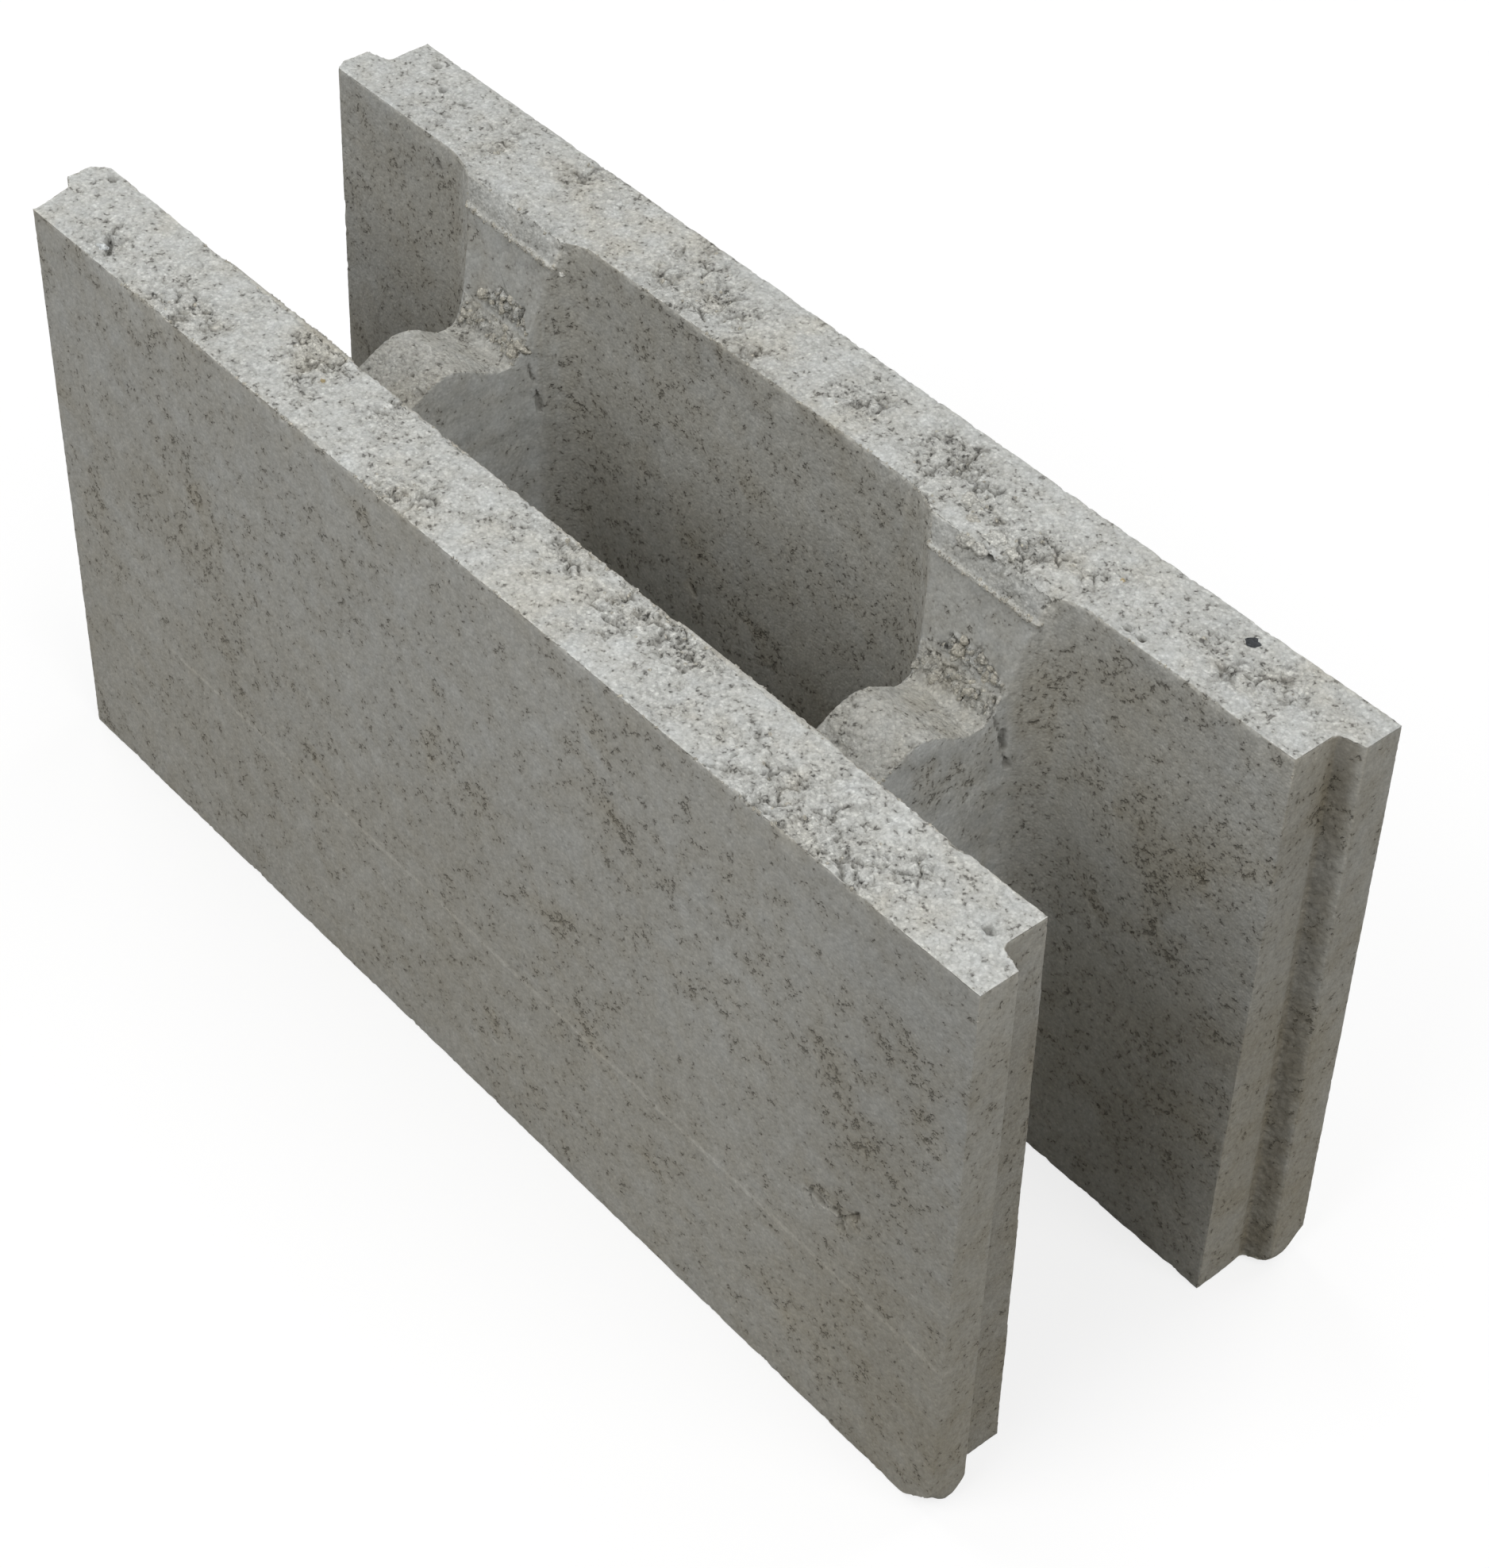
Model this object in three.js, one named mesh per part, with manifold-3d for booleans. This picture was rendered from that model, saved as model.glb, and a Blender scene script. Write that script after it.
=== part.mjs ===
// Concrete formwork block: two tall face shells joined by two low cross webs, cast as one piece.
// Millimetres. +X runs along the wall, +Y across it and +Z up. The origin is the middle of the
// block's bounding box, at the bottom bed. Both ends are rebated so that neighbours lap.
import * as THREE from 'three';
import { mergeVertices } from 'three/addons/utils/BufferGeometryUtils.js';
import Module from 'manifold-3d';

// Overall size
const LAYING_LENGTH = 495; // one module of the wall less the joint, along the outer halves of the shells
const WIDTH = 177;
const HEIGHT = 250;

// Face shells: the cores draw upwards, so the cells widen and the shells thin towards the top bed
const SHELL_AT_TOP = 37;
const SHELL_AT_BOTTOM = 41;

// End laps: the inner half of each shell stands out at the -X end and is set back at the +X end
const LAP_DEPTH = 10;
const OUTER_LAP_THICKNESS = 16; // outer half of the shell, at its tip
const FLANK_LEAN = 2.7; // how far the step between the halves leans inwards over the lap's depth
const LAP_CLEARANCE = 2; // play between a tongue and the recess that takes it
const TONGUE_CHAMFER = 5; // on the tongue's inner arris, beside the cell
const TOE_RADIUS = 7; // lower corner of each outer lap, rounded where it leaves the mould

// Cross webs
const WEB_SPACING = 249;
const WEB_AT_TOP = 31; // thickness between the cores, at the level of the top bed
const WEB_AT_BOTTOM = 40;
const FRONT_CORNER_RADIUS = 20; // of the cell corners on the +X side of each web
const BACK_CORNER_RADIUS = 36; // of those on its -X side

// Channel over the webs, left by the rammer that presses the webs down below the shells
const CHANNEL_WIDTH = 88; // between the lips of the stubs that stand above the ends of each web
const STUB_LEAN = 9; // how far the foot of each stub stands out from its lip
const SHOULDER_DEPTH = 11.5; // from the top bed down to the lip of each stub
const SHOULDER_BATTER = 3; // how far the +Y shoulders fall back; those at -Y fall back to the shell's face
const CROWN_DEPTH = 40.5; // from the top bed down to the crown of the web
const CROWN_RISE = 9.7; // crown over the dips on either side of it
const CROWN_WIDTH = 52; // from dip to dip
const HEEL_RISE = 9; // concrete heaped against the stubs, over the dips

const CONCRETE_GREY = 0xa3a29c;
const ARC_SEGMENTS = 10; // in each quarter circle
const CROWN_SEGMENTS = 24; // across the channel
const CUT_MARGIN = 20; // how far each cutter runs past the block

const halfLength = (LAYING_LENGTH + LAP_DEPTH) / 2;
const halfWidth = WIDTH / 2;
const tongueTip = -halfLength;
const outerBack = -halfLength + LAP_DEPTH;
const outerFront = halfLength;
const recessFace = halfLength - LAP_DEPTH;
const cellHalfWidth = halfWidth - SHELL_AT_TOP; // at the top bed
const shellDraft = SHELL_AT_BOTTOM - SHELL_AT_TOP;
const webDraft = (WEB_AT_BOTTOM - WEB_AT_TOP) / 2;

const wasm = await Module();
wasm.setup();

/** A solid for joining and cutting, from a closed geometry. */
function solidOf(geometry) {
  const bare = geometry.clone();
  bare.deleteAttribute('normal');
  bare.deleteAttribute('uv');
  const merged = mergeVertices(bare, 1e-4);
  return new wasm.Manifold(new wasm.Mesh({
    numProp: 3,
    vertProperties: merged.attributes.position.array,
    triVerts: new Uint32Array(merged.index.array),
  }));
}

/** A geometry with flat faces, from a finished solid. */
function geometryOf(solid) {
  const { vertProperties, triVerts } = solid.getMesh();
  const indexed = new THREE.BufferGeometry();
  indexed.setAttribute('position', new THREE.BufferAttribute(vertProperties, 3));
  indexed.setIndex(new THREE.BufferAttribute(triVerts, 1));
  const geometry = indexed.toNonIndexed();
  geometry.computeVertexNormals();
  return geometry;
}

/** An upright prism on a plan outline, from one height to another. */
function upright(shape, bottom, top) {
  const geometry = new THREE.ExtrudeGeometry(shape, {
    depth: top - bottom,
    bevelEnabled: false,
    curveSegments: ARC_SEGMENTS,
  });
  return geometry.translate(0, 0, bottom);
}

/** A prism on an outline drawn in Y and Z, running along X. */
function alongX(shape, from, to) {
  const geometry = new THREE.ExtrudeGeometry(shape, { depth: to - from, bevelEnabled: false });
  const axes = new THREE.Matrix4().makeBasis(
    new THREE.Vector3(0, 1, 0),
    new THREE.Vector3(0, 0, 1),
    new THREE.Vector3(1, 0, 0),
  );
  return geometry.applyMatrix4(axes).translate(from, 0, 0);
}

/** A prism on an outline drawn in X and Z, running across the block. */
function acrossY(shape, from, to) {
  const geometry = new THREE.ExtrudeGeometry(shape, { depth: to - from, bevelEnabled: false });
  return geometry.rotateX(Math.PI / 2).translate(0, to, 0);
}

/** The plan of the whole block without its cells: a rectangle with lapped ends. */
function planOutline() {
  const recessTop = halfWidth - OUTER_LAP_THICKNESS;
  const tongueTop = recessTop - LAP_CLEARANCE;
  const outline = new THREE.Shape();
  outline.moveTo(outerBack, -halfWidth);
  outline.lineTo(outerFront, -halfWidth);
  outline.lineTo(outerFront, -recessTop);
  outline.lineTo(recessFace, -recessTop + FLANK_LEAN);
  outline.lineTo(recessFace, recessTop - FLANK_LEAN);
  outline.lineTo(outerFront, recessTop);
  outline.lineTo(outerFront, halfWidth);
  outline.lineTo(outerBack, halfWidth);
  outline.lineTo(outerBack, tongueTop);
  outline.lineTo(tongueTip, tongueTop - FLANK_LEAN);
  outline.lineTo(tongueTip, -tongueTop + FLANK_LEAN);
  outline.lineTo(outerBack, -tongueTop);
  outline.closePath();
  return outline;
}

/** Draws the end of a cell's plan that curves into the web on its -X side, from +Y to -Y. */
function closeAtLowWeb(outline, webFace) {
  const r = FRONT_CORNER_RADIUS;
  outline.lineTo(webFace + r, cellHalfWidth);
  outline.absarc(webFace + r, cellHalfWidth - r, r, Math.PI / 2, Math.PI, false);
  outline.absarc(webFace + r, r - cellHalfWidth, r, Math.PI, 1.5 * Math.PI, false);
}

/** Draws the end of a cell's plan that curves into the web on its +X side, from -Y to +Y. */
function closeAtHighWeb(outline, webFace) {
  const r = BACK_CORNER_RADIUS;
  outline.lineTo(webFace - r, -cellHalfWidth);
  outline.absarc(webFace - r, r - cellHalfWidth, r, -Math.PI / 2, 0, false);
  outline.absarc(webFace - r, cellHalfWidth - r, r, 0, Math.PI / 2, false);
}

/** The plan of the closed cell between the webs, at the top bed. */
function middleCellOutline(low, high) {
  const outline = new THREE.Shape();
  outline.moveTo(low + FRONT_CORNER_RADIUS, -cellHalfWidth);
  closeAtHighWeb(outline, high);
  closeAtLowWeb(outline, low);
  return outline;
}

/** The plan of the open cell at the +X end, at the top bed. */
function frontCellOutline(webFace) {
  const outline = new THREE.Shape();
  outline.moveTo(webFace + FRONT_CORNER_RADIUS, -cellHalfWidth);
  outline.lineTo(outerFront + CUT_MARGIN, -cellHalfWidth);
  outline.lineTo(outerFront + CUT_MARGIN, cellHalfWidth);
  closeAtLowWeb(outline, webFace);
  return outline;
}

/** The plan of the open cell at the -X end, at the top bed, splayed by the tongues' chamfers. */
function backCellOutline(webFace) {
  const w = cellHalfWidth;
  const splayEnd = tongueTip - CUT_MARGIN;
  const splay = TONGUE_CHAMFER + CUT_MARGIN;
  const outline = new THREE.Shape();
  outline.moveTo(splayEnd, -w - splay);
  outline.lineTo(tongueTip + TONGUE_CHAMFER, -w);
  closeAtHighWeb(outline, webFace);
  outline.lineTo(tongueTip + TONGUE_CHAMFER, w);
  outline.lineTo(splayEnd, w + splay);
  return outline;
}

/** A core on a cell's plan. It narrows downwards, and where a web is beside it, shortens too. */
function core(shape, lowWebFace, highWebFace) {
  const geometry = upright(shape, -CUT_MARGIN, HEIGHT + CUT_MARGIN);
  const points = geometry.attributes.position;
  for (let i = 0; i < points.count; i += 1) {
    const depth = (HEIGHT - points.getZ(i)) / HEIGHT;
    const x = points.getX(i);
    const y = points.getY(i);
    const besideLow = x <= lowWebFace + FRONT_CORNER_RADIUS;
    const besideHigh = x >= highWebFace - BACK_CORNER_RADIUS;
    const inwards = Number(besideLow) - Number(besideHigh);
    points.setX(i, x + inwards * webDraft * depth);
    points.setY(i, y - Math.sign(y) * shellDraft * depth);
  }
  return solidOf(geometry);
}

/** Height of a web's top at a distance from the block's middle: a crown, two dips and two heels. */
function webTopAt(y) {
  const dip = HEIGHT - CROWN_DEPTH - CROWN_RISE;
  const fromDip = Math.abs(y) - CROWN_WIDTH / 2;
  if (fromDip < 0) {
    const phase = (Math.PI * y) / CROWN_WIDTH;
    return dip + CROWN_RISE * Math.cos(phase) ** 2;
  }
  const heelWidth = CHANNEL_WIDTH / 2 - STUB_LEAN - CROWN_WIDTH / 2;
  return dip + HEEL_RISE * (fromDip / heelWidth) ** 2;
}

/** The channel over both webs, between the stubs. */
function channel() {
  const half = CHANNEL_WIDTH / 2;
  const foot = half - STUB_LEAN;
  const lip = HEIGHT - SHOULDER_DEPTH;
  const rise = (SHOULDER_DEPTH + CUT_MARGIN) / SHOULDER_DEPTH;
  const section = new THREE.Shape();
  section.moveTo(half + SHOULDER_BATTER * rise, HEIGHT + CUT_MARGIN);
  section.lineTo(-half - (cellHalfWidth - half) * rise, HEIGHT + CUT_MARGIN);
  section.lineTo(-half, lip);
  for (let i = 0; i <= CROWN_SEGMENTS; i += 1) {
    const y = -foot + (2 * foot * i) / CROWN_SEGMENTS;
    section.lineTo(y, webTopAt(y));
  }
  section.lineTo(half, lip);
  return solidOf(alongX(section, tongueTip - CUT_MARGIN, outerFront + CUT_MARGIN));
}

/** What is missing from the lower corners of the outer laps. */
function toeWaste() {
  const corner = new THREE.Shape();
  corner.moveTo(outerFront - TOE_RADIUS, -CUT_MARGIN);
  corner.lineTo(outerFront + CUT_MARGIN, -CUT_MARGIN);
  corner.lineTo(outerFront + CUT_MARGIN, TOE_RADIUS);
  corner.lineTo(outerFront, TOE_RADIUS);
  corner.absarc(outerFront - TOE_RADIUS, TOE_RADIUS, TOE_RADIUS, 0, -Math.PI / 2, true);
  return solidOf(acrossY(corner, -halfWidth - CUT_MARGIN, halfWidth + CUT_MARGIN));
}

/** The block as one solid. */
function blockSolid() {
  const pairCentre = (tongueTip + recessFace) / 2;
  const backWeb = pairCentre - WEB_SPACING / 2;
  const frontWeb = pairCentre + WEB_SPACING / 2;
  const halfWeb = WEB_AT_TOP / 2;
  const middleLow = backWeb + halfWeb;
  const middleHigh = frontWeb - halfWeb;
  const backFace = backWeb - halfWeb;
  const frontFace = frontWeb + halfWeb;
  const cores = [
    core(middleCellOutline(middleLow, middleHigh), middleLow, middleHigh),
    core(frontCellOutline(frontFace), frontFace, Infinity),
    core(backCellOutline(backFace), -Infinity, backFace),
  ];
  const body = solidOf(upright(planOutline(), 0, HEIGHT));
  return [...cores, channel(), toeWaste()].reduce((left, cutter) => left.subtract(cutter), body);
}

const concrete = new THREE.MeshStandardMaterial({
  color: CONCRETE_GREY,
  roughness: 0.95,
  metalness: 0,
});
const block = new THREE.Mesh(geometryOf(blockSolid()), concrete);
block.name = 'block';

const formworkBlock = new THREE.Group();
formworkBlock.add(block);

export default formworkBlock;
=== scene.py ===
"""Looks of the concrete formwork block: its weathered skin, exposed stones, floor, light and camera.

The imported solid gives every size. Its skin is remeshed finely, worn by a Geometry Nodes tree and thinned
again, so that pits, open texture, ragged arrises and crumbly heels are real shape. A second tree scatters
lumps and crumbs on the heels of the webs, grains on the beds and crumbs along the arrises.

Lengths are millimetres wherever nothing else is said. MM makes metres of them where a mesh needs metres.
"""

import logging
import math
from collections.abc import Callable
from dataclasses import dataclass, fields
from enum import Enum
from functools import partial
from typing import TypeAlias

import bmesh
import bpy
import numpy as np
from mathutils import Euler, Matrix, Vector, noise


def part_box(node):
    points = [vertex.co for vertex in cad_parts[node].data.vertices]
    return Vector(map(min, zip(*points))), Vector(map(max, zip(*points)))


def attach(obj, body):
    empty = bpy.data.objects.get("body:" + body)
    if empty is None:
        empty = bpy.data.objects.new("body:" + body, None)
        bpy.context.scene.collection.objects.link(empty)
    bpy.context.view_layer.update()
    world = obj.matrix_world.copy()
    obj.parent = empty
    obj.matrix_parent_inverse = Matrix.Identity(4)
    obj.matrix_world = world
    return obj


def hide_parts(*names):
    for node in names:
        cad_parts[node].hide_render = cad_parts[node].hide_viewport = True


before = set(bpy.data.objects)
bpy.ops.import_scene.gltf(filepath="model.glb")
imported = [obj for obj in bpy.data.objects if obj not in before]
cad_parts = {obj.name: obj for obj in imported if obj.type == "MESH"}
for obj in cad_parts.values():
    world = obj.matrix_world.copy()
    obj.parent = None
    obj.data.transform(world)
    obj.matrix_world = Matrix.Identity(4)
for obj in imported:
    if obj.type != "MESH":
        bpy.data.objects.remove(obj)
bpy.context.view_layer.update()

log = logging.getLogger("formwork_block")

MM = 0.001

Number: TypeAlias = "Field | float"
Socket: TypeAlias = bpy.types.NodeSocket
Object: TypeAlias = bpy.types.Object
Mesh: TypeAlias = bpy.types.Mesh
Material: TypeAlias = bpy.types.Material
NodeTree: TypeAlias = bpy.types.NodeTree
Point = tuple[float, float, float]
Line = tuple[Point, ...]


# Node trees written as formulas


def formula(operation: str, swapped: bool = False) -> Callable[..., "Field"]:
    """Makes an operator of Field from a Math node.

    Args:
        operation: the node's operation.
        swapped: whether the field comes second.

    Returns:
        The operator, as a method.
    """

    def method(field: "Field", *others: Number) -> "Field":
        """Adds the node."""
        return field.graph.math(operation, *((*others, field) if swapped else (field, *others)))

    return method


class Field:
    """A number that varies inside a node tree, so that formulas can use plain operators."""

    def __init__(self, graph: "Graph", socket: Socket) -> None:
        """Wraps one output socket of a tree."""
        self.graph = graph
        self.socket = socket

    __add__ = __radd__ = formula("ADD")
    __mul__ = __rmul__ = formula("MULTIPLY")
    __sub__ = formula("SUBTRACT")
    __rsub__ = formula("SUBTRACT", swapped=True)
    __truediv__ = formula("DIVIDE")
    __rtruediv__ = formula("DIVIDE", swapped=True)
    __pow__ = formula("POWER")
    __abs__ = formula("ABSOLUTE")
    least = formula("MINIMUM")
    most = formula("MAXIMUM")

    def rises(self, low: Number, high: Number) -> "Field":
        """Goes smoothly from 0 at low to 1 at high."""
        return self.graph.ramp(self, low, high)

    def falls(self, low: Number, high: Number) -> "Field":
        """Goes smoothly from 1 at low to 0 at high."""
        return 1.0 - self.graph.ramp(self, low, high)


class Graph:
    """Adds nodes to a shader tree or a geometry tree, with links and plain values mixed freely."""

    def __init__(self, tree: NodeTree) -> None:
        """Starts writing into a tree."""
        self.tree = tree

    def feed(self, socket: Socket, value: object) -> None:
        """Links a field or a socket into an input, or sets a plain value on it.

        Args:
            socket: the input.
            value: a Field, an output socket or a constant.
        """
        if isinstance(value, Field):
            value = value.socket
        if isinstance(value, Socket):
            self.tree.links.new(value, socket)
        else:
            socket.default_value = value

    def add(self, kind: str, inputs: dict | None = None, **settings: object) -> bpy.types.Node:
        """Adds one node.

        Args:
            kind: the node's type.
            inputs: values or links by input name or index.
            **settings: the node's own properties.

        Returns:
            The node.
        """
        node = self.tree.nodes.new(kind)
        for name, value in settings.items():
            setattr(node, name, value)
        for key, value in (inputs or {}).items():
            self.feed(node.inputs[key], value)
        return node

    def out(self, kind: str, inputs: dict | None = None, **settings: object) -> Socket:
        """Adds one node, as add does, and gives its first output."""
        return self.add(kind, inputs, **settings).outputs[0]

    def field(self, socket: Socket) -> Field:
        """A socket of this tree as a field."""
        return Field(self, socket)

    def math(self, operation: str, *values: Number) -> Field:
        """A Math node on its inputs in order."""
        return self.field(self.out("ShaderNodeMath", dict(enumerate(values)), operation=operation))

    def ramp(self, value: Field, low: Number, high: Number) -> Field:
        """A smooth step from 0 at low to 1 at high."""
        ends = {"Value": value, "From Min": low, "From Max": high}
        return self.field(self.out("ShaderNodeMapRange", ends, interpolation_type="SMOOTHSTEP"))

    def parts(self, vector: Socket) -> tuple[Field, Field, Field]:
        """The three parts of a vector."""
        return tuple(self.field(part) for part in self.add("ShaderNodeSeparateXYZ", {0: vector}).outputs)

    def vector(self, operation: str, inputs: dict) -> Socket:
        """A Vector Math node on its inputs."""
        return self.out("ShaderNodeVectorMath", inputs, operation=operation)

    def scaled(self, vector: Socket, factor: Number) -> Socket:
        """A vector times a number."""
        return self.vector("SCALE", {0: vector, "Scale": factor})

    def stretched(self, vector: Socket, factors: Point) -> Socket:
        """A vector times another, part by part."""
        return self.vector("MULTIPLY", {0: vector, 1: factors})

    def shifted(self, vector: Socket, offset: object) -> Socket:
        """A vector plus another."""
        return self.vector("ADD", {0: vector, 1: offset})

    def noise(
        self,
        place: object,
        size: Number,
        detail: float = 2.0,
        roughness: float = 0.5,
        apart: Point | None = None,
    ) -> Field:
        """Fractal noise from about 0 to 1.

        Args:
            place: where it is read.
            size: width of its largest features.
            detail: octaves.
            roughness: how strong the finer octaves are.
            apart: how far it is moved, so that it differs from other noise.

        Returns:
            The noise.
        """
        where = self.shifted(place, apart) if apart else place
        values = {"Vector": where, "Scale": 1 / size, "Detail": detail, "Roughness": roughness}
        return self.field(self.out("ShaderNodeTexNoise", values))

    def jostled(self, place: object, size: Number, reach: Number) -> Socket:
        """A place moved about by noise, so that cells read there get ragged outlines.

        Args:
            place: the place.
            size: width of the noise.
            reach: how far it moves at most.

        Returns:
            The moved place.
        """
        noise = self.add("ShaderNodeTexNoise", {"Vector": place, "Scale": 1 / size, "Detail": 2.0})
        centred = self.shifted(noise.outputs[1], (-0.5, -0.5, -0.5))
        return self.shifted(place, self.scaled(centred, 2 * reach))

    def cells(self, place: object, size: Number) -> tuple[Field, Field]:
        """Scattered cells.

        Args:
            place: where they are read.
            size: their spacing.

        Returns:
            Distance to the nearest cell's point, and that cell's random number.
        """
        node = self.add("ShaderNodeTexVoronoi", {"Vector": place, "Scale": 1 / size})
        random = self.parts(node.outputs[1])[0]
        return self.field(node.outputs[0]) * size, random

    def edges(self, place: object, size: Number) -> Field:
        """Distance to the nearest border between cells of a size."""
        values = {"Vector": place, "Scale": 1 / size}
        return self.field(self.out("ShaderNodeTexVoronoi", values, feature="DISTANCE_TO_EDGE")) * size

    def pits(
        self, place: object, spacing: Number, smallest: Number, largest: Number, share: Number
    ) -> Field:
        """Scattered hollows of random size.

        Args:
            place: where they are read.
            spacing: distance between neighbours.
            smallest: radius of the smallest.
            largest: radius of the largest.
            share: how many of the places hold one, from 0 to 1.

        Returns:
            1 in a hollow's middle and 0 outside.
        """
        distance, random = self.cells(place, spacing)
        kept = random.rises(1.0 - share, 1.02 - share)
        radius = smallest + (largest - smallest) * ((random - 1.0 + share) / share)
        return distance.falls(0.35 * radius, radius) * kept


def new_tree(name: str, kind: str, takes: dict[str, str], gives: dict[str, str]) -> NodeTree:
    """Starts a node tree.

    Args:
        name: its name.
        kind: its type.
        takes: the kinds of its inputs by name.
        gives: the kinds of its outputs by name.

    Returns:
        The tree, without nodes.
    """
    tree = bpy.data.node_groups.new(name, kind)
    for side, sockets in (("INPUT", takes), ("OUTPUT", gives)):
        for socket, its_kind in sockets.items():
            tree.interface.new_socket(name=socket, in_out=side, socket_type="NodeSocket" + its_kind)
    return tree


def blank(owner: Material | bpy.types.World) -> Graph:
    """Empties the shader nodes of a material or a world.

    Args:
        owner: the material or world.

    Returns:
        A graph to write its nodes with.
    """
    owner.use_nodes = True
    owner.node_tree.nodes.clear()
    return Graph(owner.node_tree)


# The block


@dataclass(frozen=True)
class Plan:
    """The block's main lines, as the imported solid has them."""

    half_length: float
    half_width: float
    height: float
    bed_inner: float = 51.5
    lap: float = 10.0
    lap_root: float = 70.0
    web_middles: tuple[float, float] = (-129.5, 119.5)
    stub_lip: float = 44.0
    stub_foot: float = 35.0
    shoulder: float = 11.5
    heel_top: float = 208.8
    toe: float = 16.0

    @classmethod
    def of_node(cls, node: str) -> "Plan":
        """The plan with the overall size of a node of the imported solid."""
        low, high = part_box(node)
        return cls(high.x / MM, high.y / MM, high.z / MM)


def flat_lines(axis: int, level: float, *lines: tuple[float, ...]) -> tuple[Line, ...]:
    """Lines on the face at a level of an axis, each given by its points' other two coordinates in turn."""
    pairs = (zip(line[::2], line[1::2]) for line in lines)
    return tuple(tuple((*pair[:axis], level, *pair[axis:]) for pair in line) for line in pairs)


on_bed = partial(flat_lines, 2, 250.0)
on_front = partial(flat_lines, 1, -88.5)
on_inner = partial(flat_lines, 1, 50.0)


@dataclass(frozen=True)
class Flaws:
    """Flaws that have a place of their own. Each is a line through points."""

    cracks: tuple[Line, ...] = (
        *on_front(
            (185, 103, 191, 106, 196, 105, 201, 107, 204, 107), (203, 107, 207, 110, 211, 116),
            (193, 111, 196, 112), (188, 104, 190, 100), (202, 106, 201, 100),
        ),
        *on_bed(
            (131, -87, 135, -85, 138, -81, 143, -78), (84, -61, 87, -58, 90, -56),
            (-205, 63, -201, 64, -197, 65), (71, 58, 71, 62, 70, 66, 71, 70), (104, 51, 113, 51),
        ),
        ((130, 36, 211), (133, 34, 208), (136, 33, 201), (137, 35, 192), (137, 37, 186), (138, 38, 180)),
        ((106, 34, 208), (111, 33, 206), (116, 34, 208), (121, 33, 206), (122, 30, 202)),
        ((119, 21, 201), (124, 24, 200)),
        ((-113, 34, 205), (-113, 35, 199), (-112, 36, 192), (-112, 38, 187), (-111, 38, 182)),
        ((98, 48, 249), (102, 46, 247)), ((133, 46, 243), (136, 45, 242), (138, 45, 240)),
    )
    gaps: tuple[Line, ...] = (
        *on_front(
            (189, 106, 194, 105), (200, 107, 204, 106), (203, 104, 204, 101), (208, 111, 210, 113),
        ),
        *on_bed(
            (-241.5, -55.5, -239.5, -55.7), (234, -68, 236, -68.5), (167, 56, 167.5, 56),
            (173.5, 56, 174, 56), (-210, -77, -206, -79.5, -203, -82), (-228, 82, -227, 82),
            (-214, 74, -213, 74), (-201, 74, -200, 74), (-158, -81, -157, -80),
        ),
        ((137, 36, 194), (137.5, 37, 186)), ((-247.5, 51.5, 188), (-247.5, 51.5, 184)),
        ((-247.5, 51.5, 176), (-247.5, 51.5, 175)), ((-247.5, 51.5, 160), (-247.5, 51.5, 153)),
        ((111, 47, 248), (114, 46.5, 247)), ((127, 12, 206), (126, 10, 206)),
        ((138, 38, 180), (138, 38.5, 178)), ((-111, 38, 182), (-111, 39, 176)),
        ((-139, 36, 211), (-138, 35, 210)), ((-119, 37, 218), (-119, 36, 213)),
        ((-187, 51.3, 238), (-186, 51.3, 238)), ((-172, 51.3, 247), (-171, 51.3, 246)),
        ((-36, 49.6, 134), (-34, 49.6, 131)),
    )
    clusters: tuple[Line, ...] = (
        *on_front(
            (-221, 137, -221, 123), (-150, 178, -149, 174), (-175, 152, -173, 149), (-45, 237, -43, 232),
            (-6, 169, -11, 146), (17, 147, 18, 143), (-84, 99, -81, 97), (52, 128, 52, 124),
            (76, 227, 77, 222), (75, 88, 76, 84), (88, 198, 89, 195), (17, 47, 26, 33),
            (117, 154, 120, 151), (142, 165, 154, 161), (187, 171, 202, 178), (195, 200, 206, 202),
            (186, 108, 209, 110), (212, 152, 222, 148), (233, 195, 235, 174), (181, 37, 182, 34),
            (112, 47, 113, 45),
        ),
        *on_inner(
            (-63, 176, -62, 173), (-37, 157, -5, 139), (-5, 139, 13, 130), (-39, 134, -38, 131),
            (49, 185, 49, 181), (-11, 200, -10, 196), (161, 188, 188, 179), (193, 155, 199, 139),
            (174, 134, 208, 136), (212, 179, 214, 175), (203, 64, 231, 73), (190, 46, 191, 43),
            (240, 203, 240, 198),
        ),
        ((252, -80, 158), (252, -80, 154)), ((136, 3, 190), (136, 15, 185), (136, 24, 181)),
        ((145, 47, 203), (146, 48, 202)),
    )
    torn: tuple[Line, ...] = (
        *on_bed(
            (-207, 64, -199, 66), (-175, 66, -169, 67), (-129, 80, -105, 72),
            (-67, 78, -53, 64, -35, 72, -17, 66), (21, 80, 29, 66), (70, 74, 75, 58),
            (89, 72, 103, 60, 109, 52, 125, 56, 133, 68), (185, 82, 195, 73, 217, 76),
            (-209, -78, -201, -86), (-161, -78, -145, -64), (-119, -58, -103, -60),
            (-61, -62, -45, -76, -29, -80), (17, -56, 31, -60), (51, -56, 71, -60, 93, -58),
            (131, -76, 141, -80, 157, -72), (173, -80, 187, -82, 201, -76),
        ),
    )


@dataclass(frozen=True)
class Wear:
    """How far the skin is worn. Each value is an input of the wearing tree."""

    bed_relief: float = 0.9
    bed_pits: float = 1.1
    bed_flakes: float = 0.7
    face_waves: float = 0.3
    face_pits: float = 0.9
    arris_wear: float = 0.45
    bed_arris_wear: float = 1.3
    heel_relief: float = 2.2
    crack_depth: float = 1.3
    gap_depth: float = 2.2
    toe_wear: float = 7.0
    shoulder_wear: float = 1.8
    burr: float = 0.9
    shoulder_fill: float = 4.0
    tongue_fill: float = 2.3


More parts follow.
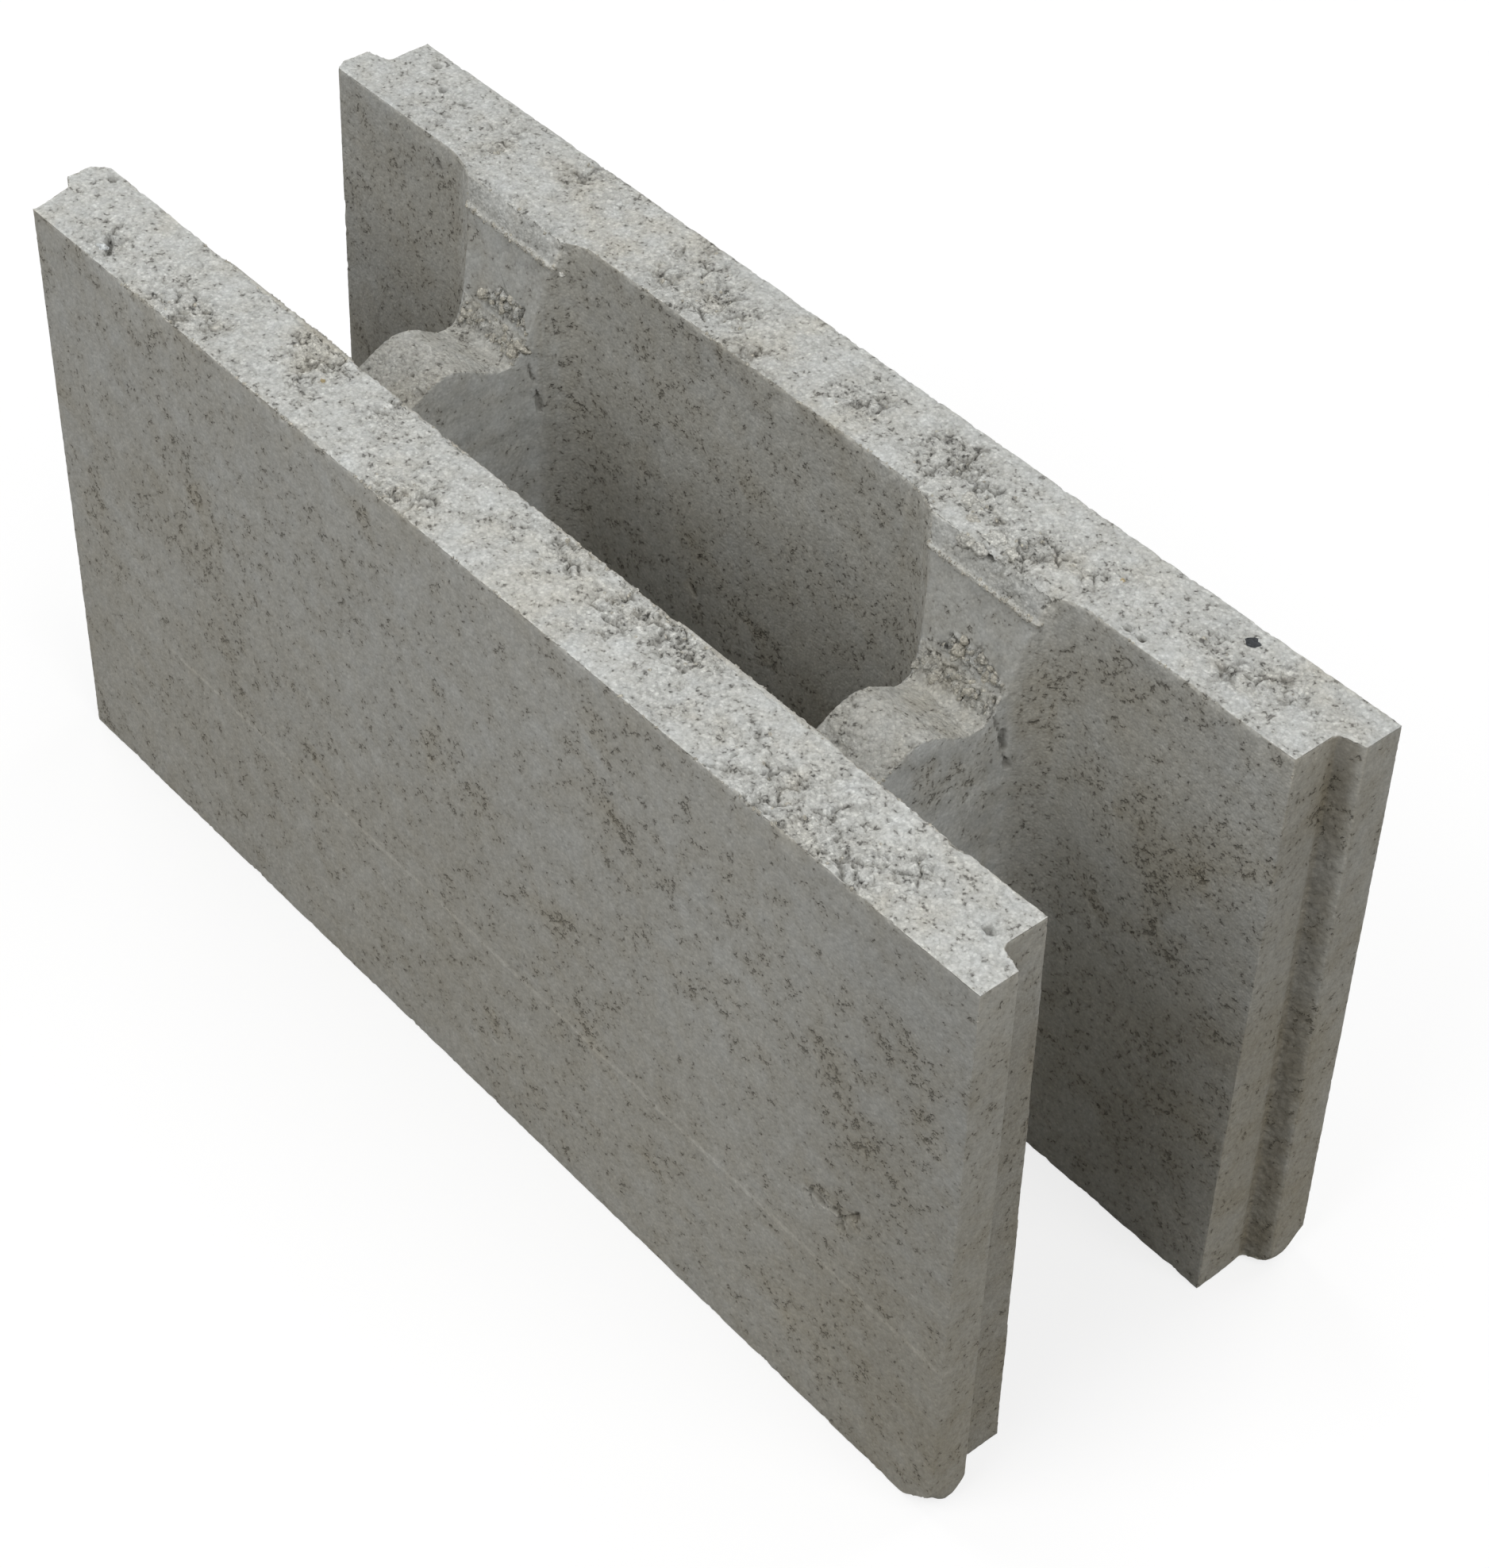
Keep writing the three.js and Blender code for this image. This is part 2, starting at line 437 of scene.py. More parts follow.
@dataclass(frozen=True)
class Widths:
    """Widths of the marks that wear and the mould leave."""

    opened: float = 20.0
    cluster: float = 45.0
    plate: float = 7.5
    lump: float = 3.4
    flake: float = 15.0
    bed_pit: float = 4.0
    pore: float = 3.6
    rubble: float = 4.4
    pebble: float = 2.4
    chip: float = 9.0
    tooth: float = 1.7
    crumble: float = 2.3
    mottle: float = 42.0
    stain: float = 30.0
    crack: float = 0.75
    gap: float = 1.7
    spot: float = 7.5
    tear: float = 19.0


class Mask(Enum):
    """Names of the vertex values that the wearing tree leaves for the materials and the stones."""

    # Pits, crevices, cracks and gaps of the skin; the concrete paints shade into them.
    HOLLOW = "hollow"
    TORN = "torn"
    PORY = "pory"
    SMEARED = "smeared"
    TONE = "tone"
    WARMTH = "warmth"
    HEEL = "heel"
    GRAINY = "grainy"
    RIM = "rim"
    PLAIN = "plain"


@dataclass(frozen=True)
class Tones:
    """Shares of light that the concrete gives back in each zone."""

    bed: float = 0.497
    side: float = 0.455
    low: float = 0.442
    inside: float = 0.4
    web: float = 0.463
    stub: float = 0.4
    end: float = 0.365
    recess: float = 0.262
    web_top: float = 0.442
    near_bed: float = 0.515
    shoulder: float = 0.455


@dataclass(frozen=True)
class Skin:
    """The block's visible skin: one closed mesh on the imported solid's shape."""

    node: str
    plan: Plan
    wear: Wear
    flaws: Flaws
    voxel: float = 0.85
    triangles: int = 196_000
    plain_triangles: int = 44_000
    sharp_arris: float = math.radians(35)

    def merged_copy(self) -> Mesh:
        """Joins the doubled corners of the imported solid's mesh.

        Returns:
            A joined copy.
        """
        solid = bmesh.new()
        solid.from_mesh(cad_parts[self.node].data)
        bmesh.ops.remove_doubles(solid, verts=solid.verts, dist=1e-6)
        return mesh_of(solid, "formwork_block")

    def arris_lines(self, mesh: Mesh) -> Object:
        """The solid's sharp edges alone, as a helper that the wearing tree measures from.

        Args:
            mesh: the merged copy.

        Returns:
            An object of edges without faces.
        """
        solid = bmesh.new()
        solid.from_mesh(mesh)
        soft = [e for e in solid.edges if e.calc_face_angle(0.0) < self.sharp_arris]
        bmesh.ops.delete(solid, geom=solid.faces[:], context="FACES_ONLY")
        bmesh.ops.delete(solid, geom=soft, context="EDGES")
        return new_object("arrises", mesh_of(solid, "arrises"))

    def build(self) -> Object:
        """Remeshes, wears and thins the skin.

        Returns:
            The finished piece.
        """
        base = self.merged_copy()
        helpers = {flaw.name: wire(flaw.name, getattr(self.flaws, flaw.name)) for flaw in fields(Flaws)}
        helpers["arrises"] = self.arris_lines(base)
        piece = new_object("formwork_block", base)
        remesh = piece.modifiers.new("fine_mesh", "REMESH")
        remesh.mode = "VOXEL"
        remesh.voxel_size = self.voxel * MM
        worn = piece.modifiers.new("wearing", "NODES")
        worn.node_group = WearTree(self.plan).build()
        set_inputs(worn, helpers | {depth.name: getattr(self.wear, depth.name) for depth in fields(Wear)})
        apply_all(piece)
        for helper in helpers.values():
            bpy.data.objects.remove(helper)
        self.thin(piece)
        keep_inside(piece.data, self.node)
        piece.data.shade_smooth()
        piece.data.set_sharp_from_angle(angle=self.sharp_arris)
        return piece

    def thin(self, piece: Object) -> None:
        """Thins the plain faces first and then the whole skin, so that the beds and arrises stay fine.

        Args:
            piece: the worn piece.
        """
        mesh = piece.data
        plain = np.empty(len(mesh.vertices), dtype=np.float32)
        mesh.attributes[Mask.PLAIN.value].data.foreach_get("value", plain)
        indices = np.flatnonzero(plain > 0.5)
        piece.vertex_groups.new(name="plain_faces").add(indices.tolist(), 1.0, "REPLACE")
        total = triangle_count(mesh)
        fine = total * (1.0 - len(indices) / len(plain))
        first = piece.modifiers.new("plain_thinning", "DECIMATE")
        first.vertex_group = "plain_faces"
        first.ratio = (fine + self.plain_triangles) / total
        apply_all(piece)
        whole = piece.modifiers.new("thinning", "DECIMATE")
        whole.ratio = self.triangles / triangle_count(piece.data)
        apply_all(piece)
        piece.vertex_groups.clear()


class WearTree:
    """The Geometry Nodes tree that wears the finely meshed block."""

    def __init__(self, plan: Plan) -> None:
        """Takes the block's main lines."""
        self.plan = plan
        self.width = Widths()

    def build(self) -> NodeTree:
        """Builds the tree.

        Returns:
            A tree with the helpers and the wear depths as named inputs.
        """
        lines = ("arrises", *(flaw.name for flaw in fields(Flaws)))
        takes = {"Geometry": "Geometry"} | dict.fromkeys(lines, "Object")
        takes |= dict.fromkeys((depth.name for depth in fields(Wear)), "Float")
        tree = new_tree("wearing", "GeometryNodeTree", takes, {"Geometry": "Geometry"})
        g = self.graph = Graph(tree)
        entry = g.add("NodeGroupInput")
        self.amount = {depth.name: g.field(entry.outputs[depth.name]) for depth in fields(Wear)}
        position = g.out("GeometryNodeInputPosition")
        normal = g.out("GeometryNodeInputNormal")
        self.place = g.scaled(position, 1 / MM)
        self.x, self.y, self.z = g.parts(self.place)
        self.zone = Zones(g, self.plan, self.place, g.parts(normal))
        self.to_arris = self._distance(entry.outputs["arrises"], position)
        shaken = g.scaled(g.jostled(self.place, 2.2, 0.9), MM)
        self.to_crack = self._distance(entry.outputs["cracks"], shaken)
        self.to_gap = self._distance(entry.outputs["gaps"], shaken)
        shaken = g.scaled(g.jostled(self.place, 9.0, 6.0), MM)
        self.marked = self._distance(entry.outputs["clusters"], shaken).falls(1.0, self.width.spot)
        self.torn = self._distance(entry.outputs["torn"], shaken).falls(2.0, self.width.tear)
        depth, masks = self.worn()
        shape = entry.outputs["Geometry"]
        for mask, value in masks.items():
            store = {"Geometry": shape, "Name": mask.value, "Value": value}
            shape = g.out("GeometryNodeStoreNamedAttribute", store)
        offset = g.shifted(g.scaled(normal, depth * -MM), self.bent())
        moved = g.out("GeometryNodeSetPosition", {"Geometry": shape, "Offset": offset})
        g.add("NodeGroupOutput", {"Geometry": moved})
        return tree

    def _distance(self, helper: Socket, sample: Socket) -> Field:
        """Distance to a helper's lines.

        Args:
            helper: the object of the lines.
            sample: where it is measured, in metres.

        Returns:
            The distance.
        """
        source = self.graph.add("GeometryNodeObjectInfo", {"Object": helper}).outputs["Geometry"]
        inputs = {0: source, "Sample Position": sample}
        near = self.graph.add("GeometryNodeProximity", inputs, target_element="EDGES")
        return self.graph.field(near.outputs["Distance"]) * (1 / MM)

    def bent(self) -> Socket:
        """The large departures from the plain solid: worn toes and uneven tongue ends.

        Returns:
            How far each point moves, in metres.
        """
        x, y, z, plan, amount = self.x, self.y, self.z, self.plan, self.amount
        outer = abs(y).rises(80, plan.half_width)
        inner = abs(y).falls(plan.lap_root - 1, 78) * y.falls(-40, 40).rises(-0.6, 1.0)
        lift = (outer + inner * 1.2) * x.rises(plan.half_length - 15, plan.half_length - 2)
        lift = lift * z.falls(1, plan.toe + 6) * abs(y).rises(60, 69) * amount["toe_wear"]
        slant = y.rises(-plan.half_width, -plan.lap_root) * y.falls(-plan.lap_root, 8 - plan.lap_root)
        shoulder = -plan.half_length + plan.lap
        compress = x.rises(-plan.half_length, shoulder) * x.falls(shoulder, shoulder + 12)
        tongue = y.rises(plan.bed_inner - 6, plan.bed_inner - 1) * y.falls(plan.bed_inner, 59)
        tongue = tongue * x.falls(-plan.half_length + 4, shoulder + 4)
        push = slant * compress * amount["shoulder_fill"] + tongue * amount["tongue_fill"]
        return self.graph.out("ShaderNodeCombineXYZ", {0: push * -MM, 2: lift * MM})

    def worn(self) -> tuple[Field, dict[Mask, Field]]:
        """Works the wear out.

        Returns:
            Its depth, inwards, and the masks for the materials.
        """
        g, amount, place, zone, width = self.graph, self.amount, self.place, self.zone, self.width
        y, z, plan = self.y, self.z, self.plan
        opened = g.noise(place, width.opened, 3.0).rises(0.4, 0.62)
        opened = opened * (0.35 * (1.0 - 0.8 * zone.smooth_end) + 0.5 * self.torn) + 0.25 * self.torn
        cluster = g.noise(place, width.cluster, 3.0, apart=(70.0, 0.0, 0.0)).rises(0.45, 0.68)
        cluster = cluster * (1.0 - 0.6 * zone.below_scrape) * (1.0 - 0.8 * zone.web_side)
        opened = opened * (1.0 - 0.5 * zone.shoulder)
        bed_depth, bed_hollow = self._bed_texture(opened)
        face_depth, face_hollow = self._face_texture()
        heel_depth, heel_hollow = self._heel_texture()
        crack = self.to_crack.falls(0.1, width.crack)
        gap = self.to_gap.falls(0.6, width.gap)
        crumble = g.noise(place, width.crumble, 2.0, 0.6).rises(0.3, 0.72)
        off_lip = abs(z - (plan.height - plan.shoulder)).most(abs(abs(y) - plan.stub_lip) * 0.8)
        lip = off_lip.falls(0.3, 1.2 + 0.8 * crumble)
        depth = (
            zone.rough * (1.0 - zone.heel) * bed_depth * (1.0 - 0.6 * y.rises(79, 86))
            + zone.under * bed_depth * 0.4
            + zone.side * face_depth
            + self._arris_wear(crumble)
            + zone.heel * heel_depth
            + zone.recess * crumble * 0.8 * z.falls(222, 242)
            + crack * amount["crack_depth"]
            + gap * amount["gap_depth"] * (1.0 - 0.4 * zone.side)
            + self._shoulder_wear(crumble)
            - lip * amount["burr"] * (0.4 + 0.9 * crumble)
        )
        hollow = (zone.rough.most(zone.under * 0.6) * bed_hollow).most(face_hollow * zone.side)
        hollow = hollow.most(crack * 0.9).most(gap * 0.9).most(zone.heel * heel_hollow)
        # A paler band along the top arrises and the stubs' lips: partly worn pale cement, partly painted
        # highlight. It also places the rim crumbs.
        rim = self.to_arris.falls(0.0, 1.6) * z.rises(236, 240).most(zone.web_top)
        rim = rim * (1.0 - 0.9 * zone.far_side)
        tone, warmth = self._colouring(opened, cluster, rim.most(lip * 2.0))
        grainy = zone.bed * (0.15 + 0.6 * opened)
        pory = (cluster * zone.side * 0.8).most(zone.inside * 0.3).most(zone.rough * (0.1 + 0.25 * opened))
        pory = pory * (1.0 - 0.9 * zone.web_side.most(zone.stub)) * (1.0 - 0.6 * zone.end)
        near_detail = self.to_arris.least(self.to_crack * 0.8).least(self.to_gap * 0.6).least(off_lip)
        marked = hollow.most(self.marked).rises(0.0, 0.05) * zone.side
        plain = near_detail.rises(3.2, 3.4).most(zone.under) * (1.0 - zone.open) * (1.0 - marked)
        masks = {
            Mask.HOLLOW: hollow,
            Mask.TORN: (zone.rough * (0.3 + 0.6 * opened)).most(zone.heel).most(zone.inside * 0.12),
            Mask.PORY: pory.most(self.marked * 1.5),
            Mask.SMEARED: zone.web_side,
            Mask.TONE: tone,
            Mask.WARMTH: warmth,
            Mask.HEEL: zone.heel,
            Mask.GRAINY: grainy * (1.0 - 0.7 * zone.smooth_end),
            Mask.RIM: (rim * crumble * (1.0 - 0.6 * zone.smooth_end)).most(lip),
            Mask.PLAIN: plain,
        }
        return depth, masks

    def _bed_texture(self, opened: Field) -> tuple[Field, Field]:
        """The open texture of the beds: plates, lumps, crevices and pits.

        Args:
            opened: where the beds are torn open.

        Returns:
            Depth, and hollows from 0 to 1.
        """
        g, amount, place, width = self.graph, self.amount, self.place, self.width
        ragged = g.jostled(place, 4.0, 1.8)
        ragged_lumps = g.shifted(ragged, (0.0, 0.0, 11.0))
        _, plate = g.cells(ragged, width.plate)
        _, lump = g.cells(ragged_lumps, width.lump)
        torn = g.noise(place, 9.0, apart=(0.0, 25.0, 0.0)).rises(0.47, 0.54)
        torn = torn * opened.rises(0.1, 0.7)
        crevice = g.edges(ragged, width.plate).falls(0.1, 0.75) * torn
        broken = g.noise(place, 6.0, apart=(30.0, 0.0, 0.0)).rises(0.56, 0.62) * opened
        crevice = crevice.most(g.edges(ragged_lumps, width.lump).falls(0.1, 0.5) * broken)
        pit = g.pits(g.jostled(place, 1.6, 0.9), width.bed_pit, 0.4, 1.2, 0.03 + 0.12 * opened)
        flake = g.noise(g.jostled(place, 3.0, 1.2), width.flake, 1.0).rises(0.55, 0.58)
        steps = plate * (0.15 + 0.6 * opened) + lump.rises(0.55, 0.9) * (0.1 + 0.55 * opened)
        grit = (g.noise(place, 3.0, 3.0, 0.6) - 0.5) * (0.9 + 1.1 * opened)
        relief = steps + 0.4 * g.noise(place, 22) + grit
        depth = amount["bed_relief"] * relief + amount["bed_flakes"] * flake * (0.3 + 0.7 * opened)
        return depth + amount["bed_pits"] * (crevice * 1.4).most(pit), crevice.most(pit)

    def _face_texture(self) -> tuple[Field, Field]:
        """The texture of the faces that slid against the mould.

        Returns:
            Depth, and hollows from 0 to 1.
        """
        g, amount, place, zone = self.graph, self.amount, self.place, self.zone
        share = 0.04 * zone.inside * (1.0 - zone.web_side) + 0.8 * self.marked
        hollow = g.pits(g.jostled(place, 2.0, 1.4), self.width.pore, 0.4, 1.15, share)
        waves = amount["face_waves"] * g.noise(place, 55)
        return waves + amount["face_pits"] * hollow, hollow

    def _heel_texture(self) -> tuple[Field, Field]:
        """The texture of the crumbly heels, where the webs meet the shells.

        Returns:
            Depth, and hollows from 0 to 1.
        """
        g, place = self.graph, self.place
        gaps = g.edges(g.jostled(place, 3.0, 1.4), self.width.rubble).falls(0.1, 1.0)
        lumps, _ = g.cells(place, self.width.pebble)
        depth = self.amount["heel_relief"] * (gaps * 0.65 + lumps.rises(0.2, 1.7) * 0.35)
        return depth - 0.8, gaps * 0.8

    def _arris_wear(self, crumble: Field) -> Field:
        """The ragged wear along the arrises, deepest along the beds.

        Args:
            crumble: fine raggedness.

        Returns:
            Its depth.
        """
        g, amount, place, plan, y, z = self.graph, self.amount, self.place, self.plan, self.y, self.z
        chips = g.noise(place, self.width.chip, 3.0, 0.6, (0.0, 40.0, 0.0)).rises(0.46, 0.7)
        teeth = g.noise(place, self.width.tooth, 1.0, apart=(0.0, 0.0, 60.0)).rises(0.35, 0.65)
        reach = 0.7 + 0.9 * crumble + 1.8 * chips
        near = self.to_arris.falls(0.0, reach)
        calm = 1.0 - 0.75 * abs(self.x).rises(plan.half_length - 22, plan.half_length - 16)
        top = z.rises(plan.height - 14, plan.height - 4) * calm
        top = top * (1.0 - 0.6 * self.zone.smooth_end) * (1.0 - 0.85 * self.zone.far_side)
        inner = top * abs(y).falls(60, 70)
        depth = amount["arris_wear"] * (0.2 + 0.8 * chips * calm)
        depth = depth + amount["bed_arris_wear"] * (top * (0.15 + 0.6 * chips) + inner * 0.25)
        return near * depth * (0.1 + 0.6 * crumble + 0.8 * teeth)

    def _shoulder_wear(self, crumble: Field) -> Field:
        """Depth of the rounding where the beds turn down to the stubs' lips."""
        turn = self.to_arris.falls(0.0, 6.0) * self.zone.over_web * self.zone.open
        return turn * (0.5 + crumble) * self.amount["shoulder_wear"]

    def _colouring(self, opened: Field, cluster: Field, rim: Field) -> tuple[Field, Field]:
        """The colour of the cement, zone by zone.

        Args:
            opened: where the beds are torn open.
            cluster: where the faces are pory.
            rim: where the arrises are paler, partly from worn pale cement and partly as a painted highlight.

        Returns:
            Tone and warmth.
        """
        g, place, zone, width, tones = self.graph, self.place, self.zone, self.width, Tones()
        low = self.z.falls(40, 190)
        stain = g.noise(place, width.stain, 4.0, 0.55, (0.0, 0.0, 90.0)).rises(0.5, 0.68)
        tone = tones.side - (tones.side - tones.low) * low
        levels = (
            (zone.inside, tones.inside),
            (zone.web_side, tones.web),
            (zone.stub, tones.stub),
            (zone.end, tones.end),
            (zone.recess, tones.recess),
            (zone.open, tones.bed),
            (zone.bed * self.y.falls(-10, 10), tones.near_bed),
            (zone.shoulder, tones.shoulder),
            (zone.web_top, tones.web_top),
        )
        for mask, level in levels:
            tone = tone + mask * (level - tone)
        side = 1.0 - zone.open
        mottle = g.noise(place, width.mottle, 3.0, apart=(0.0, 15.0, 0.0)) - 0.5
        near_end = zone.end * self.y.falls(-30, 30)
        shades = (
            (mottle, 0.18),
            (stain * side, -0.1),
            (cluster * side, -0.07),
            (opened * zone.rough, -0.05),
            # Paler arrises: partly worn cement, partly painted highlight.
            (rim, 0.16),
            (self.marked * side, -0.08),
            (zone.near_corner, -0.15),
            (zone.end * self.z.rises(205, 245), 0.1),
            (near_end, abs(self.x).rises(247, 250) * 0.12 - 0.07),
        )
        for mask, share in shades:
            tone = tone * (1.0 + mask * share)
        browns = (
            (low * side, 0.35),
            (cluster * side, 0.35),
            (self.marked * side, 0.5),
            (stain, 0.45),
            (zone.end, 0.45),
            (zone.near_corner * low, 0.4),
            (zone.recess, 0.5),
            (zone.web_side, -0.35),
            (zone.bed, -0.4),
            (zone.stub, -0.25),
            (opened * zone.bed, 0.2),
            (rim, 0.1),
        )
        warmth = sum((mask * share for mask, share in browns), 0.2)
        return tone, warmth


class Zones:
    """Where a point of the block lies. Each zone is a mask from 0 to 1, with soft limits."""

    squarely = (0.5, 0.85)
    crown_from = (185.0, 190.0)
    crown_to = (228.0, 232.0)
    end_from = (234.0, 238.0)
    guide_below = (74.0, 84.0)
    front_to = (-80.0, -70.0)
    far_from = (60.0, 80.0)
    near_corner_from = (165.0, 222.0)
    smooth_to = (-205.0, -175.0)
    smooth_from = (190.0, 220.0)

    def __init__(self, g: Graph, plan: Plan, place: object, facing: tuple[Field, Field, Field]) -> None:
        """Works the zones out.

        Args:
            g: the tree's graph.
            plan: the block's main lines.
            place: the point.
            facing: the three parts of the surface's direction there.
        """
        x, y, z = g.parts(place)
        wide = abs(y)
        up = facing[2]
        top = plan.height
        self.bed = up.rises(*self.squarely) * z.rises(top - 3, top - 1)
        self.under = (up * -1.0).rises(*self.squarely)
        web = abs(x - plan.web_middles[0]).least(abs(x - plan.web_middles[1]))
        lean = (wide - plan.stub_foot) / (plan.stub_lip - plan.stub_foot)
        self.web_top = up.rises(0.3, 0.7) * z.rises(*self.crown_from) * z.falls(*self.crown_to)
        above = z - plan.heel_top - lean * (top - plan.shoulder - plan.heel_top)
        self.stub = abs(above).falls(2.0, 4.0) * abs(facing[1]).rises(0.8, 0.92) * web.falls(30, 36)
        self.stub = self.stub * z.rises(plan.heel_top, plan.heel_top + 3) * up.rises(0.1, 0.2)
        heap = plan.heel_top + 10.0 - web ** 2.0 * 0.03 + (g.noise(place, 6.0) - 0.5) * 12.0
        self.heel = self.web_top.most(self.stub * (z - heap).falls(-1.0, 1.0))
        self.heel = self.heel * (wide + (g.noise(place, 9.0, 1.0) - 0.5) * 8.0).rises(26, 32)
        edge = top - plan.shoulder
        self.shoulder = z.rises(edge, edge + 1.5) * wide.rises(40, 43) * wide.falls(47, 48.5)
        self.shoulder = self.shoulder * (1.0 - self.bed)
        self.over_web = web.falls(22, 27) * wide.falls(50, 54) * z.rises(edge + 4, edge + 7)
        self.rough = self.bed + self.web_top.most(self.heel) + self.shoulder
        self.open = self.rough.least(1.0)
        self.side = abs(up).falls(0.33, 0.5) * (1.0 - self.shoulder) * (1.0 - self.heel)
        self.end = abs(facing[0]).rises(*self.squarely) * abs(x).rises(*self.end_from) * self.side
        self.web_side = wide.falls(36, 42) * self.side * (1.0 - self.stub)
        self.inside = wide.falls(54, 57) * self.side * (1.0 - self.web_side) * (1.0 - self.stub)
        self.recess = abs(wide - plan.lap_root).falls(1.0, 3.0) * abs(x).rises(238, 241) * self.side
        front = y.falls(*self.front_to)
        self.far_side = y.rises(*self.far_from)
        self.below_scrape = z.falls(*self.guide_below) * front
        self.near_corner = x.rises(*self.near_corner_from) * front * self.side * (1.0 - self.end)
        self.smooth_end = x.falls(*self.smooth_to).most(x.rises(*self.smooth_from) * 0.7)


class StoneTree:
    """The Geometry Nodes tree that scatters stones over the skin where a mask says."""

    flattest = (0.7, 0.6, 0.5)
    longest = (1.5, 1.2, 1.0)
    tones = (0.34, 0.5)
    warmths = (0.1, 0.9)
    rarity_of_large = 2.2
    dents_per_mm = 0.6
    dent_reach = 2.6

    def build(self) -> NodeTree:
        """Builds the tree.

        Returns:
            A tree with the skin, the mask's name, the stones' number and sizes and their material as inputs.
        """
        takes = {"skin": "Object", "mask": "String", "material": "Material", "roundness": "Int"}
        takes |= {"seed": "Int"} | dict.fromkeys(("density", "smallest", "largest", "sink"), "Float")
        tree = new_tree("scattered_stones", "GeometryNodeTree", takes, {"Geometry": "Geometry"})
        g = Graph(tree)
        given = g.add("NodeGroupInput").outputs
        skin = g.add("GeometryNodeObjectInfo", {"Object": given["skin"]}).outputs["Geometry"]
        mask = g.add("GeometryNodeInputNamedAttribute", {"Name": given["mask"]}).outputs["Attribute"]
        density = g.field(mask).rises(0.25, 0.9) * g.field(given["density"])
        inputs = {"Mesh": skin, "Density": density, "Seed": given["seed"]}
        points = g.add("GeometryNodeDistributePointsOnFaces", inputs)
        chance = self._random(g, "FLOAT", 0.0, 1.0, given["seed"])
        smallest, largest = g.field(given["smallest"]), g.field(given["largest"])
        radius = (smallest + (largest - smallest) * g.field(chance) ** self.rarity_of_large) * MM
        sunk = g.scaled(points.outputs["Normal"], radius * g.field(given["sink"]) * -1.0)
        placed = g.out("GeometryNodeSetPosition", {"Geometry": points.outputs["Points"], "Offset": sunk})
        stretch = self._random(g, "FLOAT_VECTOR", self.flattest, self.longest, given["seed"])
        turn = self._random(g, "FLOAT_VECTOR", (0.0,) * 3, (math.tau,) * 3, given["seed"])
        stone = g.out("GeometryNodeMeshIcoSphere", {"Subdivisions": given["roundness"]})
        spread = {"Points": placed, "Instance": stone, "Rotation": turn}
        spread["Scale"] = g.scaled(stretch, radius)
        stones = g.out("GeometryNodeInstanceOnPoints", spread)
        for mask, limits in ((Mask.TONE, self.tones), (Mask.WARMTH, self.warmths)):
            value = self._random(g, "FLOAT", *limits, given["seed"])
            store = {"Geometry": stones, "Name": mask.value, "Value": value}
            stones = g.out("GeometryNodeStoreNamedAttribute", store, domain="INSTANCE")
        loose = g.out("GeometryNodeRealizeInstances", {0: stones})
        position = g.out("GeometryNodeInputPosition")
        values = {"Vector": position, "Scale": self.dents_per_mm / MM, "Detail": 2.0}
        noise = g.add("ShaderNodeTexNoise", values)
        dent = g.scaled(g.shifted(noise.outputs[1], (-0.5,) * 3), smallest * self.dent_reach * MM)
        loose = g.out("GeometryNodeSetPosition", {"Geometry": loose, "Offset": dent})
        dressed = {"Geometry": loose, "Material": given["material"]}
        g.add("NodeGroupOutput", {"Geometry": g.out("GeometryNodeSetMaterial", dressed)})
        return tree

    @staticmethod
    def _random(g: Graph, kind: str, low: object, high: object, seed: object) -> Socket:
        """Random numbers or vectors between two limits.

        Args:
            g: the tree's graph.
            kind: what is drawn.
            low: the lower limit.
            high: the upper limit.
            seed: which draw it is.

        Returns:
            The random value's socket.
        """
        node = g.add("FunctionNodeRandomValue", data_type=kind)
        first = 0 if kind == "FLOAT_VECTOR" else 2
        g.feed(node.inputs[first], low)
        g.feed(node.inputs[first + 1], high)
        g.feed(node.inputs["Seed"], seed)
        return next(out for out in node.outputs if out.enabled)


@dataclass(frozen=True)
class Scatter:
    """One kind of scattered stones. The density is stones for each square metre."""

    name: str
    mask: Mask
    density: float
    smallest: float
    largest: float
    sink: float
    roundness: int
    seed: int

    def build(self, skin: Object, node: str, material: Material) -> Object:
        """Scatters the stones over the skin.

        Args:
            skin: the piece that they sit on.
            node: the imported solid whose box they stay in.
            material: what they are made of.

        Returns:
            The finished piece.
        """
        piece = new_object(self.name, bpy.data.meshes.new(self.name))
        scattered = piece.modifiers.new("scattering", "NODES")
        scattered.node_group = StoneTree().build()
        inputs = {size.name: getattr(self, size.name) for size in fields(self) if size.name != "name"}
        set_inputs(scattered, inputs | {"mask": self.mask.value, "skin": skin, "material": material})
        apply_all(piece)
        keep_inside(piece.data, node)
        piece.data.shade_smooth()
        return piece


@dataclass(frozen=True)
class Stone:
    """A stone with a place of its own. The turn about Z is in degrees."""

    place: Point
    size: Point
    turn: float
    tone: float
    warmth: float

    def add_to(self, solid: bmesh.types.BMesh) -> None:
        """Adds the stone to a mesh as a dented ball.

        Args:
            solid: the mesh, with a tone and a warmth for each corner.
        """
        ball = bmesh.ops.create_icosphere(solid, subdivisions=3, radius=1.0)["verts"]
        turn = Matrix.Rotation(math.radians(self.turn), 3, "Z")
        tone, warmth = (solid.verts.layers.float[mask.value] for mask in (Mask.TONE, Mask.WARMTH))
        for corner in ball:
            dent = 1.0 + 0.55 * noise.noise(corner.co * 1.5 + Vector(self.place))
            shape = turn @ Vector(c * s * dent for c, s in zip(corner.co, self.size))
            corner.co = (Vector(self.place) + shape) * MM
            corner[tone], corner[warmth] = self.tone, self.warmth


